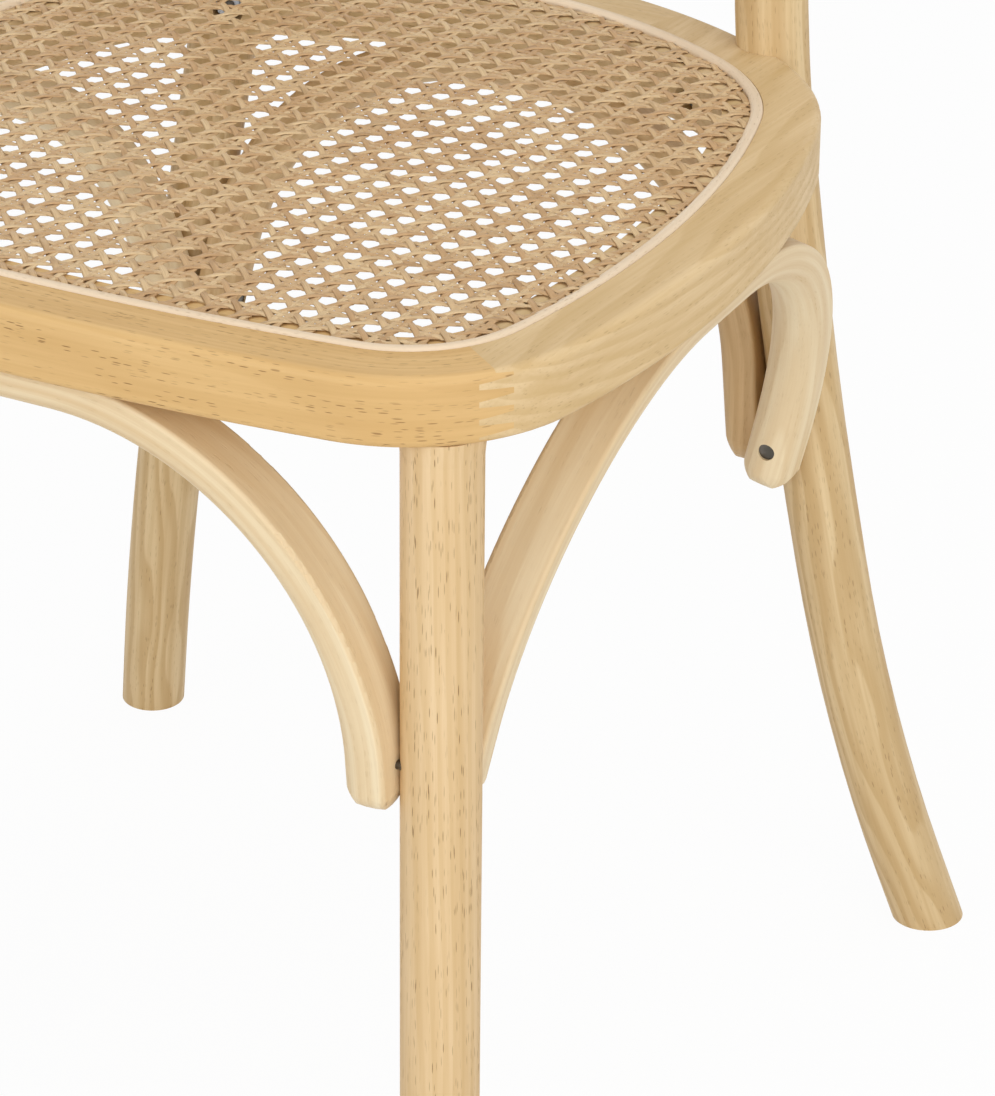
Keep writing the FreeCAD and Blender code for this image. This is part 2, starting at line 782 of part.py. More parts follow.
def brace_section(point, direction):
    half, thick, edge = size("brace_width") / 2, size("brace_thickness") / 2, size("brace_edge_round")
    across = direction.cross(BACK_NORMAL).normalize()
    out = across.cross(direction).normalize()
    cut = edge * (1 - math.sqrt(0.5))

    def at(a, b):
        return point + across * a + out * b

    edges = []
    corners = [(1, 1), (-1, 1), (-1, -1), (1, -1)]
    ends = []
    for a, b in corners:
        side_point = at(a * half, b * (thick - edge))
        face_point = at(a * (half - edge), b * thick)
        middle = at(a * (half - cut), b * (thick - cut))
        first, last = (side_point, face_point) if a * b > 0 else (face_point, side_point)
        ends.append((first, middle, last))
    for index, (first, middle, last) in enumerate(ends):
        edges.append(Part.Arc(first, middle, last).toShape())
        following = ends[(index + 1) % 4][0]
        edges.append(Part.LineSegment(last, following).toShape())
    return Part.Wire(edges)


def brace_blank(forward):
    path = brace_path(forward)
    first = path.Edges[0]
    section = brace_section(first.valueAt(first.FirstParameter), first.tangentAt(first.FirstParameter))
    sweep = Part.BRepOffsetAPI.MakePipeShell(path)
    sweep.setBiNormalMode(BACK_NORMAL)
    sweep.add(section, False, False)
    sweep.build()
    sweep.makeSolid()
    return sweep.shape()


def mirror_shape(shape):
    return shape.mirror(Vector(0, 0, 0), Vector(1, 0, 0))


lap = size("brace_thickness") / 2
brace_front = shape_feature("brace_front_blank", brace_blank(lap))
brace_back = shape_feature("brace_back_blank", mirror_shape(brace_blank(-lap)))


def brace_screw(point, direction, length):
    shape = screw_shape(size("brace_screw_diameter"), length, size("brace_screw_head_diameter"),
                        size("brace_screw_head_height"), size("screw_tip_length"))
    shape.Placement = drive_place(point, direction)
    return shape


def brace_end_seats():
    seats = []
    for axis, inward in ((LOW_AXIS, LOW_INWARD), (HIGH_AXIS, HIGH_INWARD)):
        head = axis - inward * (HOOP_RADIUS - size("brace_screw_recess"))
        seats.append((head, inward))
        seats.append((mirrored(head), mirrored(inward)))
    return seats


def brace_crossing():
    path = brace_path(0.0)
    for edge in path.Edges:
        first, last = edge.FirstParameter, edge.LastParameter
        low, high = edge.valueAt(first), edge.valueAt(last)
        if low.x <= 0 <= high.x:
            share = -low.x / (high.x - low.x)
            return low + (high - low) * share
    raise ValueError("the braces do not cross")


CROSSING = brace_crossing()
crossing_head = CROSSING - BACK_NORMAL * (size("brace_thickness") - size("brace_screw_recess"))
brace_end_screws = shape_feature("brace_end_screws", Part.makeCompound(
    [brace_screw(*seat, size("brace_end_screw_length")) for seat in brace_end_seats()]))
brace_cross_screw = shape_feature(
    "brace_cross_screw", brace_screw(crossing_head, BACK_NORMAL, size("brace_screw_length")))
mouth_seats = brace_end_seats() + [(crossing_head, BACK_NORMAL)]
brace_mouths = shape_feature("brace_mouths", Part.makeCompound(
    [screw_mouth(point, way, size("brace_screw_head_diameter")) for point, way in mouth_seats]))


# Bolts from behind each post into a nut under the cane, square to the seat's edge
def bolt_line():
    height = SEAT_TOP - size("bolt_below_top")
    post = point_at_height(HOOP_PATH, height)[0]
    outward, edge = outward_near(post)
    head_seat = post + outward * (HOOP_RADIUS - size("bolt_recess"))
    nut_seat = Vector(edge.x, edge.y, height) - outward * (size("rail_width") - size("nut_pocket_depth"))
    return head_seat, nut_seat, outward


HEAD_SEAT, NUT_SEAT, BOLT_OUT = bolt_line()


def on_bolt(shape, point, direction):
    shape.Placement = Placement(point, Rotation(UP, direction))
    return shape


def both_sides(shape):
    return Part.makeCompound([shape, mirror_shape(shape)])


def bolt_shape():
    length = (HEAD_SEAT - NUT_SEAT).Length + 2 * size("washer_thickness") + size("nut_height")
    length += size("bolt_end_spare")
    shank = Part.makeCylinder(size("bolt_diameter") / 2, length, Vector(0, 0, -length))
    head = Part.makeCylinder(size("bolt_head_diameter") / 2, size("bolt_head_height"))
    edge = [e for e in head.Edges if e.BoundBox.ZMin > size("bolt_head_height") - TOUCH]
    head = head.makeFillet(size("bolt_head_round"), edge)
    bolt = head.fuse(shank)
    return on_bolt(bolt, HEAD_SEAT + BOLT_OUT * size("washer_thickness"), BOLT_OUT)


def washer_shape(seat, direction):
    disc = Part.makeCylinder(size("washer_diameter") / 2, size("washer_thickness"))
    washer = disc.cut(Part.makeCylinder(size("bolt_diameter") / 2, size("washer_thickness")))
    return on_bolt(washer, seat, direction)


def nut_shape():
    corner = size("nut_across_flats") / math.sqrt(3)
    points = [Vector(corner * math.cos(k * math.pi / 3), corner * math.sin(k * math.pi / 3), 0)
              for k in range(7)]
    hexagon = Part.Face(Part.makePolygon(points)).extrude(UP * size("nut_height"))
    nut = hexagon.cut(Part.makeCylinder(size("bolt_diameter") / 2, size("nut_height")))
    return on_bolt(nut, NUT_SEAT - BOLT_OUT * size("washer_thickness"), BOLT_OUT * -1)


def bolt_holes():
    mouth = size("washer_diameter") / 2 + size("bolt_counterbore_clearance")
    bore = size("bolt_diameter") / 2 + size("bolt_hole_clearance")
    length = (HEAD_SEAT - NUT_SEAT).Length
    through = on_bolt(Part.makeCylinder(bore, length), NUT_SEAT, BOLT_OUT)
    head_pocket = on_bolt(Part.makeCylinder(mouth, size("hoop_diameter")), HEAD_SEAT, BOLT_OUT)
    nut_pocket = on_bolt(Part.makeCylinder(mouth, size("rail_width")), NUT_SEAT, BOLT_OUT * -1)
    return through.fuse([head_pocket, nut_pocket])


hoop_bolts = shape_feature("hoop_bolts", both_sides(bolt_shape()))
hoop_washers = shape_feature("hoop_washers", both_sides(washer_shape(HEAD_SEAT, BOLT_OUT)))
hoop_nuts = shape_feature("hoop_nuts", both_sides(nut_shape()))
nut_washers = shape_feature("nut_washers", both_sides(washer_shape(NUT_SEAT, BOLT_OUT * -1)))
bolt_bores = shape_feature("bolt_bores", both_sides(bolt_holes()))


# Spline: a strip with a rounded crown, pressed into the groove all the way round
spline_top = size("groove_depth") + size("spline_crown")
spline = turned_ring("cane_spline", [
    (groove_outer, 0, 0),
    (groove_inner, 0, 0),
    (groove_inner, spline_top, size("spline_round")),
    (groove_outer, spline_top, size("spline_round")),
], SEAT_TOP - size("groove_depth"))
doc.recompute()


# Cane webbing: one sheet with eight-sided holes on every second crossing of the weave
def cane_sheet():
    pitch = size("cane_pitch")
    across_corner = size("cane_hole") / 2 / math.cos(math.pi / 8)
    outer = outline_wire(groove_inner)
    clear = Part.Face(outline_wire(size("rail_width") + size("cane_hole_edge_gap") + size("cane_hole") / 2))
    box = clear.BoundBox
    rows = range(-int(box.YLength / pitch), int(box.YLength / pitch) + 1)
    columns = range(-int(box.XLength / pitch), int(box.XLength / pitch) + 1)
    holes = []
    for row in rows:
        for column in columns:
            if (row + column) % 2:
                continue
            centre = Vector(size("cane_shift_across") + column * pitch,
                            size("cane_shift_along") + row * pitch, 0)
            if not clear.isInside(centre, TOUCH, True):
                continue
            corners = [centre + Vector(math.cos(a), math.sin(a), 0) * across_corner
                       for a in [math.pi / 8 + k * math.pi / 4 for k in range(8)]]
            holes.append(Part.makePolygon(corners + corners[:1]))
    print("cane holes", len(holes))
    face = Part.Face([outer] + holes)
    face.validate()
    return face.extrude(UP * size("cane_thickness"))


cane = shape_feature("cane_webbing", cane_sheet(),
                     Placement(Vector(0, 0, SEAT_TOP - size("cane_thickness")), Rotation()))


# Finished pieces: each blank less what it seats on or is pierced by
def cut_away(name, blank, tools):
    base = blank
    for count, tool in enumerate(tools):
        base = boolean("Cut", "%s_cut_%d" % (name, count), base, tool)
    return base


rail_level = doc.addObject("Part::Box", "above_rail_bottom")
rail_level.Length = 2 * FAR
rail_level.Width = 2 * FAR
rail_level.Height = FAR
rail_level.Placement = Placement(Vector(-FAR, -FAR, RAIL_BOTTOM), Rotation())
hoop_rod = shape_feature("hoop_rod", hoop_blank())
leg_rods = {side: shape_feature("leg_rod_%d" % (side + 1), leg_blank(side)) for side in (-1, 1)}
leg_sockets = shape_feature("leg_sockets", Part.makeCompound([leg_socket(side) for side in (-1, 1)]))
leg_pair = shape_feature("leg_pair", Part.makeCompound([leg_rods[side].Shape for side in (-1, 1)]))

parts = {}
for name in ARCHES:
    place, half_span, drop, splay = ARCHES[name]
    blank = arch_body(name + "_blank", half_span, drop, splay, place)
    tools = [rail_level, leg_pair, hoop_rod, screw_mouths, arch_end_screws_feature,
             arch_crown_screws_feature]
    parts[name] = cut_away(name, blank, tools)
for name, blank in rail_blanks.items():
    parts[name] = cut_away(name, blank, [hoop_rod, leg_sockets, bolt_bores, arch_crown_screws_feature])
parts["front_leg_right"] = cut_away("front_leg_right", leg_rods[1], [arch_end_screws_feature])
parts["front_leg_left"] = cut_away("front_leg_left", leg_rods[-1], [arch_end_screws_feature])
parts["back_hoop"] = cut_away("back_hoop", hoop_rod, [
    brace_front, brace_back, brace_mouths, brace_end_screws, arch_end_screws_feature, bolt_bores])
parts["cross_brace_front"] = cut_away("cross_brace_front", brace_front, [
    brace_mouths, brace_end_screws, brace_cross_screw])
parts["cross_brace_back"] = cut_away("cross_brace_back", brace_back, [
    brace_mouths, brace_end_screws, brace_cross_screw])
parts["cane_webbing"] = cane
parts["cane_spline"] = spline
parts["arch_end_screws"] = arch_end_screws_feature
parts["arch_crown_screws"] = arch_crown_screws_feature
parts["brace_end_screws"] = brace_end_screws
parts["brace_cross_screw"] = brace_cross_screw
parts["hoop_bolts"] = hoop_bolts
parts["hoop_washers"] = hoop_washers
parts["hoop_nuts"] = hoop_nuts
parts["nut_washers"] = nut_washers
doc.recompute()

for name, feature in parts.items():
    feature.Label = name
for feature in doc.Objects:
    if "Invalid" in feature.State or "Error" in feature.State:
        raise RuntimeError("%s did not build: %s" % (feature.Label, feature.State))
os.makedirs("parts", exist_ok=True)
for name, feature in parts.items():
    shape = feature.Shape
    if shape.isNull() or not shape.isValid():
        raise RuntimeError("%s has no valid solid" % name)
    print("%-20s solids %d volume %.1f faces %d" % (name, len(shape.Solids), shape.Volume, len(shape.Faces)))
    shape.exportStep("parts/%s.step" % name)
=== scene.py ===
import bmesh
import bpy
import math
import numpy as np
from mathutils import Matrix, Vector
from mathutils.bvhtree import BVHTree
from mathutils.kdtree import KDTree


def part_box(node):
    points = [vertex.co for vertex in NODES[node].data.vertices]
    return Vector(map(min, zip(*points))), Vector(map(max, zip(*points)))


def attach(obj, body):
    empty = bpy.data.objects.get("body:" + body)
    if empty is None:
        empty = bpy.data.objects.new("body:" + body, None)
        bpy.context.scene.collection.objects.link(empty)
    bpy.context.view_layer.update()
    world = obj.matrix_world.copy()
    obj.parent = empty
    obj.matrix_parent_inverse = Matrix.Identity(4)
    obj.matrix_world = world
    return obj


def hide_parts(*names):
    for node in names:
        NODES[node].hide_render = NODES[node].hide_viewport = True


# Cross back chair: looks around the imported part. Metres, Z up, the origin on the floor.
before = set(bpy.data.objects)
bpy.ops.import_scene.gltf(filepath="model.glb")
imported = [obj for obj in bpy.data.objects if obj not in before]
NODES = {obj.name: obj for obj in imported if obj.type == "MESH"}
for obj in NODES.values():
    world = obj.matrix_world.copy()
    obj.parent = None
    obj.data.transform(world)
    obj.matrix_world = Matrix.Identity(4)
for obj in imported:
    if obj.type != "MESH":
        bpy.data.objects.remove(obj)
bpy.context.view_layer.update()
SCENE = bpy.context.scene

# Seat outline, as in the part: radius and end heading of each arc from the front middle
SEAT_BENDS = [(1.194, 7.3), (0.0807, 80.1), (0.539, 107.5), (0.132, 148.0)]
SEAT_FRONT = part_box("seat_front_rail")[0].y
SEAT_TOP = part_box("seat_front_rail")[1].z
# How far in from the seat's edge the spline's groove begins and ends
GROOVE_OUTER, GROOVE_INNER = 0.025, 0.0306
CANE_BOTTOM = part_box("cane_webbing")[0].z

# Weave: lattice pitch, middle of the hole nearest the origin, strand sizes, and how far strands
# rise at crossings
PITCH = 0.0143
HOLE_X, HOLE_Y = 0.0013, 0.0057
PAIR_GAP = 0.0037
STRAIGHT_WIDTH, SLANT_WIDTH = 0.0033, 0.0031
STRAND_THICKNESS = 0.00068
LAYER = 0.00056
CROSSING_RISE = 0.00032
STRAND_WOBBLE = 0.00006
# Strands stop this far short of the groove, after dipping towards it
END_MARGIN, DIP_LENGTH, DIP_DEPTH = 0.0002, 0.004, 0.0006


# Seat outline
def seat_arcs():
    arcs = []
    x, y, start, run = 0.0, SEAT_FRONT, 0.0, 0.0
    for radius, heading in SEAT_BENDS:
        end = math.radians(heading)
        centre = (x - radius * math.sin(start), y + radius * math.cos(start))
        arcs.append((centre, radius, start, end, run))
        run += radius * (end - start)
        x = centre[0] + radius * math.sin(end)
        y = centre[1] - radius * math.cos(end)
        start = end
    radius = x / math.sin(start)
    arcs.append(((0.0, y + radius * math.cos(start)), radius, start, math.pi, run))
    return arcs


ARCS = seat_arcs()


def seat_place(x, y):
    """Distance in from the seat's edge, and along it from the front middle."""
    side = np.where(x < 0, -1.0, 1.0)
    inset = np.full(x.shape, np.inf)
    along = np.zeros(x.shape)
    for (cx, cy), radius, start, end, run in ARCS:
        angle = np.clip(np.arctan2(np.abs(x) - cx, cy - y), start, end)
        px, py = cx + radius * np.sin(angle), cy - radius * np.cos(angle)
        distance = np.hypot(np.abs(x) - px, y - py)
        nearer = distance < inset
        inset = np.where(nearer, distance, inset)
        along = np.where(nearer, side * (run + radius * (angle - start)), along)
    return inset, along


# Paths that bent pieces follow, with the frame that travels along them
def rounded_path(corners, radii, step=0.002):
    """Places about every step along straight runs that are joined by round bends."""
    corners = [Vector(c) for c in corners]
    places = [corners[0]]

    def run_to(target):
        start = places[-1]
        count = max(1, int((target - start).length / step))
        places.extend(start.lerp(target, i / count) for i in range(1, count + 1))

    for before, corner, after, radius in zip(corners, corners[1:], corners[2:], radii):
        back, ahead = (before - corner).normalized(), (after - corner).normalized()
        turn = math.pi - back.angle(ahead)
        tangent = radius * math.tan(turn / 2)
        centre = corner + (back + ahead).normalized() * (radius / math.cos(turn / 2))
        run_to(corner + back * tangent)
        axis = back.cross(ahead).normalized()
        arm = places[-1] - centre
        count = max(2, int(radius * turn / step))
        for i in range(1, count + 1):
            places.append(centre + Matrix.Rotation(-turn * i / count, 3, axis) @ arm)
    run_to(corners[-1])
    return places


def bend_radii(corners, shares):
    radii = []
    for before, corner, after, (first, second) in zip(corners, corners[1:], corners[2:], shares):
        back, ahead = before - corner, after - corner
        turn = math.pi - back.angle(ahead)
        radii.append(min(first * back.length, second * ahead.length) / math.tan(turn / 2))
    return radii


class Route:
    """Grain that follows a path: along it, and the two directions across it."""

    def __init__(self, places, side):
        self.places = places
        self.tree = KDTree(len(places))
        for i, place in enumerate(places):
            self.tree.insert(place, i)
        self.tree.balance()
        self.runs = [0.0]
        for a, b in zip(places, places[1:]):
            self.runs.append(self.runs[-1] + (b - a).length)
        self.frames = []
        side = Vector(side)
        for i in range(len(places)):
            along = (places[min(i + 1, len(places) - 1)] - places[max(i - 1, 0)]).normalized()
            side = (side - along * side.dot(along)).normalized()
            self.frames.append((along, side, along.cross(side)))

    def __call__(self, points):
        grain = np.empty(points.shape)
        for row, point in enumerate(points):
            place, i, distance = self.tree.find(Vector(point))
            along, side, out = self.frames[i]
            offset = Vector(point) - place
            grain[row] = (self.runs[i] + offset.dot(along), offset.dot(side), offset.dot(out))
        return grain


def straight_grain(along, side, start=(0, 0, 0)):
    along, side = Vector(along).normalized(), Vector(side).normalized()
    axes = np.array([along, side, along.cross(side)])
    return lambda points: (points - np.array(start)) @ axes.T


# Shader helpers
class Shader:
    """A material's node tree, with short calls for what the finishes share."""

    def __init__(self, name):
        self.material = bpy.data.materials.new(name)
        self.material.use_nodes = True
        self.tree = self.material.node_tree
        self.surface = self.tree.nodes["Principled BSDF"]

    def add(self, kind, inputs=None, **settings):
        node = self.tree.nodes.new(kind)
        for name, value in settings.items():
            setattr(node, name, value)
        for socket, value in (inputs or {}).items():
            if isinstance(value, bpy.types.NodeSocket):
                self.tree.links.new(value, node.inputs[socket])
            else:
                node.inputs[socket].default_value = value
        return node

    def math(self, operation, a, b=0.0, c=0.0):
        return self.add("ShaderNodeMath", {0: a, 1: b, 2: c}, operation=operation).outputs[0]

    def scaled(self, vector, scale, shift=(0, 0, 0)):
        node = self.add("ShaderNodeMapping", {"Vector": vector, "Scale": scale, "Location": shift})
        return node.outputs[0]

    def noise(self, vector, scale, detail=2.0, roughness=0.5, shift=(0, 0, 0)):
        node = self.add("ShaderNodeTexNoise", {
            "Vector": self.scaled(vector, scale, shift), "Scale": 1.0,
            "Detail": detail, "Roughness": roughness})
        return node.outputs["Fac"]

    def span(self, value, low, high, out_low=0.0, out_high=1.0):
        node = self.add("ShaderNodeMapRange", {
            "Value": value, "From Min": low, "From Max": high,
            "To Min": out_low, "To Max": out_high}, interpolation_type="SMOOTHSTEP")
        return node.outputs[0]

    def mix(self, factor, a, b, blend="MIX"):
        node = self.add("ShaderNodeMix", data_type="RGBA", blend_type=blend)
        for socket, value in ((0, factor), (6, a), (7, b)):
            if isinstance(value, bpy.types.NodeSocket):
                self.tree.links.new(value, node.inputs[socket])
            else:
                node.inputs[socket].default_value = value
        return node.outputs[2]

    def attribute(self, name, output="Vector"):
        node = self.add("ShaderNodeAttribute", attribute_name=name, attribute_type="GEOMETRY")
        return node.outputs[output]

    def set(self, socket, value):
        if isinstance(value, bpy.types.NodeSocket):
            self.tree.links.new(value, self.surface.inputs[socket])
        else:
            self.surface.inputs[socket].default_value = value

    def bump(self, height, distance, strength=1.0):
        node = self.add("ShaderNodeBump", {
            "Height": height, "Distance": distance, "Strength": strength})
        self.tree.links.new(node.outputs[0], self.surface.inputs["Normal"])


def colour(code):
    """Linear colour of a #rrggbb code."""
    shades = [int(code[i:i + 2], 16) / 255 for i in (1, 3, 5)]
    linear = [v / 12.92 if v <= 0.04045 else ((v + 0.055) / 1.055) ** 2.4 for v in shades]
    return (*linear, 1.0)


# How often each pattern repeats in a metre: along the grain, then twice across it
SWAY_SCALE = (5.0, 32.0, 32.0)
CLOUD_SCALE = (9.0, 40.0, 40.0)
STREAK_SCALE = (4.0, 170.0, 170.0)
FIBRE_SCALE = (18.0, 900.0, 900.0)
CLUSTER_SCALE = (9.0, 330.0, 330.0)
GRAIN_RELIEF = 0.00012


def wood(name, light, dark, pore, pith=(0.05, 0.02), ring=0.0035, taper=0.03, wander=0.0022,
         ring_share=0.45, pore_share=0.5, pore_length=0.006, pore_gap=0.0008, seed=0.0):
    """Growth rings round a pith beside the piece, pores that favour early wood, fine fibres.

    Rings are ring apart and drift by taper along the grain; the shares say how strongly rings
    and pores darken the wood.
    """
    s = Shader(name)
    grain = s.attribute("grain")
    shift = (seed, seed * 1.7, seed * 2.3)
    slow = s.noise(grain, SWAY_SCALE, 2.0, 0.5, shift)
    split = s.add("ShaderNodeSeparateXYZ", {0: grain})
    sway = s.math("MULTIPLY", s.math("SUBTRACT", slow, 0.5), wander * 8)
    across = s.math("ADD", s.math("ADD", split.outputs[1], pith[0]), sway)
    out = s.math("ADD", split.outputs[2], pith[1])
    squares = s.math("ADD", s.math("MULTIPLY", across, across), s.math("MULTIPLY", out, out))
    drift = s.math("MULTIPLY", split.outputs[0], taper)
    reach = s.math("ADD", s.math("SQRT", squares), drift)
    phase = s.math("FRACT", s.math("DIVIDE", reach, ring))
    early = s.math("MULTIPLY", s.span(phase, 0.0, 0.12), s.span(phase, 0.28, 0.75, 1.0, 0.0))
    fibre = s.noise(grain, FIBRE_SCALE, 3.0, 0.6, shift)
    streak = s.noise(grain, STREAK_SCALE, 2.0, 0.55, shift)
    cloud = s.noise(grain, CLOUD_SCALE, 2.0, 0.5, (seed * 3, 1.0, 2.0))
    base = s.mix(s.span(cloud, 0.25, 0.75), light, s.mix(0.35, light, dark))
    base = s.mix(s.math("MULTIPLY", early, ring_share), base, dark)
    base = s.mix(s.span(streak, 0.35, 0.7, 0.0, 0.42), base, dark)
    base = s.mix(s.span(fibre, 0.35, 0.7, 0.0, 0.22), base, dark)
    cells = s.add("ShaderNodeTexVoronoi", {
        "Vector": s.scaled(grain, (1 / pore_length, 1 / pore_gap, 1 / pore_gap), shift),
        "Scale": 1.0, "Randomness": 1.0}, voronoi_dimensions="3D", feature="F1")
    pick = s.add("ShaderNodeSeparateXYZ", {0: cells.outputs["Color"]}).outputs[0]
    clusters = s.span(s.noise(grain, CLUSTER_SCALE, 2.0, 0.6, shift), 0.4, 0.56)
    body = s.span(cells.outputs["Distance"], 0.2, 0.36, 1.0, 0.0)
    in_ring = s.math("ADD", s.math("MULTIPLY", early, 0.5), 0.5)
    allowed = s.math("MULTIPLY", s.span(pick, 0.3, 0.5), in_ring)
    pores = s.math("MULTIPLY", s.math("MULTIPLY", body, allowed), clusters)
    base = s.mix(s.math("MULTIPLY", pores, pore_share), base, pore)
    s.set("Base Color", base)
    uneven = s.math("ADD", fibre, s.math("MULTIPLY", pores, 0.5))
    s.set("Roughness", s.span(uneven, 0.2, 1.2, 0.48, 0.72))
    s.set("Specular IOR Level", 0.35)
    relief = s.math("SUBTRACT", s.math("MULTIPLY", fibre, 0.35), pores)
    s.bump(relief, GRAIN_RELIEF, 0.8)
    return s.material


def store(mesh, name, kind, field, values):
    """Keeps a value for each vertex on the mesh, for its material to read."""
    layer = mesh.attributes.new(name, kind, "POINT")
    layer.data.foreach_set(field, np.asarray(values, np.float32).ravel())


def dressed(node, grain, material):
    """A copy of a CAD node's own shape that also carries its grain."""
    mesh = NODES[node].data.copy()
    mesh.name = node + "_timber"
    piece = bpy.data.objects.new(node + "_timber", mesh)
    SCENE.collection.objects.link(piece)
    points = np.empty(len(mesh.vertices) * 3, np.float32)
    mesh.vertices.foreach_get("co", points)
    store(mesh, "grain", "FLOAT_VECTOR", "vector", grain(points.reshape(-1, 3).astype(float)))
    mesh.materials.clear()
    mesh.materials.append(material)
    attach(piece, "root")
    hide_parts(node)
    return piece


def smooth_by_angle(mesh, degrees):
    """Smooth shading that breaks only at edges sharper than this."""
    body = bmesh.new()
    body.from_mesh(mesh)
    for face in body.faces:
        face.smooth = True
    limit = math.radians(degrees)
    for edge in body.edges:
        edge.smooth = len(edge.link_faces) == 2 and edge.calc_face_angle(0.0) < limit
    body.to_mesh(mesh)
    body.free()


# Colours of the timbers
RAIL_LIGHT, RAIL_DARK, PORE = colour("#dfba80"), colour("#c89f63"), colour("#7b5429")
SIDE_LIGHT, SIDE_DARK = colour("#e2c79b"), colour("#c7a670")
LEG_LIGHT, LEG_DARK = colour("#e6caa0"), colour("#cba873")
HOOP_LIGHT, HOOP_DARK = colour("#e2c99d"), colour("#bf9d69")
ARCH_LIGHT, ARCH_DARK = colour("#eedcb9"), colour("#d6b788")


def outline_grain(points):
    """Grain that follows the seat's outline: along it, up, and in from the edge."""
    inset, along = seat_place(points[:, 0], points[:, 1])
    return np.stack([along, points[:, 2] - SEAT_TOP, inset], axis=1)


front_wood = wood("front_rail_wood", RAIL_LIGHT, RAIL_DARK, PORE, pith=(0.03, 0.12),
                  ring=0.0032, pore_share=0.7, ring_share=0.25, pore_length=0.007, seed=1.0)
back_wood = wood("back_rail_wood", SIDE_LIGHT, SIDE_DARK, PORE, pith=(0.05, 0.1), ring=0.005,
                 seed=2.0)
side_wood = wood("side_rail_wood", SIDE_LIGHT, SIDE_DARK, PORE, pith=(0.045, 0.02), ring=0.006,
                 taper=0.08, wander=0.003, ring_share=0.42, pore_share=0.22, seed=3.0)
for node, grain, timber in (
        ("seat_front_rail", outline_grain, front_wood),
        ("seat_back_rail", straight_grain((1, 0, 0), (0, 0, 1)), back_wood),
        ("seat_right_rail", straight_grain((0.05, 1, 0), (0, 0, 1)), side_wood),
        ("seat_left_rail", straight_grain((0.05, -1, 0), (0, 0, 1), (0.1, 0, 0)), side_wood)):
    dressed(node, grain, timber)

leg_wood = wood("front_leg_wood", LEG_LIGHT, LEG_DARK, PORE, pith=(0.06, 0.02), ring=0.0042,
                taper=0.01, wander=0.001, ring_share=0.35, pore_share=0.85,
                pore_length=0.009, pore_gap=0.00062, seed=4.0)
for node in ("front_leg_right", "front_leg_left"):
    low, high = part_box(node)
    middle = ((low.x + high.x) / 2, (low.y + high.y) / 2, 0)
    dressed(node, straight_grain((0, 0, 1), (0.8, 0.6, 0), middle), leg_wood)

# Back hoop: bend points of its axis on the right side, as in the part. Those of the leg give
# the distance out from the middle, back from the seat's front, and up
HOOP_RADIUS = 0.0165
CROWN_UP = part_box("back_hoop")[1].z - HOOP_RADIUS
CROWN_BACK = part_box("back_hoop")[1].y - HOOP_RADIUS
SEAT_BEND = Vector((0.1423, SEAT_FRONT + 0.4113, 0.444))
LEAN = (CROWN_BACK - SEAT_BEND.y) / (CROWN_UP - SEAT_BEND.z)
HOOP_LEG = [(0.2274, 0.4443, 0.0), (0.209, 0.4248, 0.074),
            (0.1905, 0.4113, 0.159), (0.165, 0.4053, 0.299)]
HOOP_BACK = [(0.133, 0.529), (0.166, 0.630), (0.206, CROWN_UP)]
# Shares of a straight run that the bends at its ends use up
EVEN, CROWN = 0.48, 0.76


def in_back(out, up):
    return Vector((out, SEAT_BEND.y + LEAN * (up - SEAT_BEND.z), up))


def mirrored(place):
    return Vector((-place[0], place[1], place[2]))


hoop_right = [Vector((x, SEAT_FRONT + back, z)) for x, back, z in HOOP_LEG] + [SEAT_BEND]
hoop_right += [in_back(out, up) for out, up in HOOP_BACK]
hoop_corners = hoop_right + [mirrored(p) for p in reversed(hoop_right)]
right_shares = [(EVEN, EVEN)] * 4 + [(EVEN, EVEN), (EVEN, 2 * EVEN - CROWN), (CROWN, EVEN)]
hoop_shares = right_shares + [(after, before) for before, after in reversed(right_shares)]
hoop_path = rounded_path(hoop_corners, bend_radii(hoop_corners, hoop_shares))
hoop_wood = wood("hoop_wood", HOOP_LIGHT, HOOP_DARK, PORE, pith=(0.03, 0.012), ring=0.0075,
                 taper=0.05, wander=0.005, ring_share=0.6, pore_share=0.4, seed=5.0)
dressed("back_hoop", Route(hoop_path, (1, 0, 0)), hoop_wood)

# Braces: ends on the hoop and bend points, out from the middle and up
LOW_END, HIGH_END = (0.1291, 0.1707, 0.4986), (0.1252, 0.2253, 0.8157)
BRACE_LOW, BRACE_HIGH = (0.072, 0.553), (0.076, 0.767)
BRACE_RADIUS = 0.22
brace_wood = wood("brace_wood", HOOP_LIGHT, HOOP_DARK, PORE, pith=(0.04, 0.02), ring=0.006,
                  taper=0.02, seed=6.0, pore_share=0.45)
for node, side in (("cross_brace_front", 1), ("cross_brace_back", -1)):
    corners = [(-LOW_END[0], LOW_END[1], LOW_END[2]),
               in_back(-BRACE_LOW[0], BRACE_LOW[1]), in_back(*BRACE_HIGH), HIGH_END]
    corners = [Vector((side * c[0], c[1], c[2])) for c in corners]
    brace_path = rounded_path(corners, [BRACE_RADIUS] * 2)
    dressed(node, Route(brace_path, (0, 1, -LEAN)), brace_wood)

# Arches: ends, then the corners that their one bend rounds off
ARCH_RADIUS = 0.148
# Domed tips: length, how far from the tip its limb is measured, cuts along and across, and how
# much the very end is drawn in
TIP_LENGTH, TIP_REACH = 0.012, 0.03
TIP_CUTS, SIDE_CUTS = 9, (-0.6, 0.0, 0.6)
TIP_DRAW = 0.72
